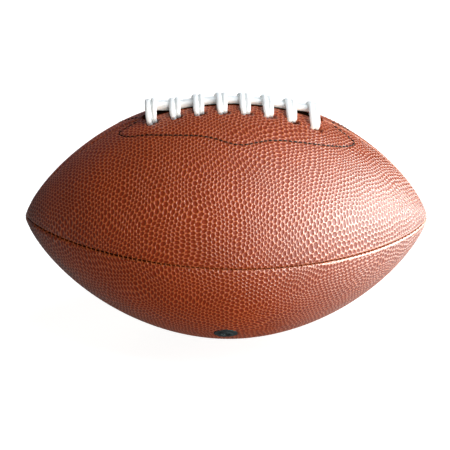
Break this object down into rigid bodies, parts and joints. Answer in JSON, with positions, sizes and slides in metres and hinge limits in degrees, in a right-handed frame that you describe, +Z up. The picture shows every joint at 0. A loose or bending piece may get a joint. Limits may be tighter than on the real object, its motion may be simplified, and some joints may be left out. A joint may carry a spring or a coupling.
{
  "type": "american football",
  "caption": "Pointed oval ball of sewn pebbled panels over an inflated bladder, with raised white lacing on top and a needle valve in a lower panel.",
  "frame": {"origin": "middle of the belly flat on which the ball lies, straight below the ball's centre", "axes": "+X along the ball's long axis, +Z up through the middle of the lacing, -Y towards the side seen in the picture"},
  "size_m": [0.2806, 0.17, 0.175],
  "materials": {
    "cover_leather": "pebbled, satin, red-brown",
    "lining_cloth": "woven, matt",
    "bladder_rubber": "smooth, matt",
    "valve_rubber": "smooth, satin",
    "seam_thread": "waxed thread",
    "patch_cloth": "coated cloth, matt",
    "patch_thread": "twisted thread",
    "lace_vinyl": "smooth, satin, white"
  },
  "bodies": {
    "root": {"cover_lace_front": "cover_leather", "cover_lace_back": "cover_leather", "cover_valve": "cover_leather", "cover_plain": "cover_leather", "lining_lace_front": "lining_cloth", "lining_lace_back": "lining_cloth", "lining_valve": "lining_cloth", "lining_plain": "lining_cloth", "bladder": "bladder_rubber", "valve_body": "valve_rubber", "valve_plug": "valve_rubber", "valve_boss": "bladder_rubber", "seam_thread_front": "seam_thread", "seam_thread_back": "seam_thread", "seam_thread_belly": "seam_thread", "seam_thread_top_left": "seam_thread", "seam_thread_top_right": "seam_thread", "lace_patch_front": "patch_cloth", "lace_patch_back": "patch_cloth", "patch_stitch_front": "patch_thread", "patch_stitch_back": "patch_thread", "lacing_tongue": "patch_cloth", "lace": "lace_vinyl"}
  },
  "joints": []
}
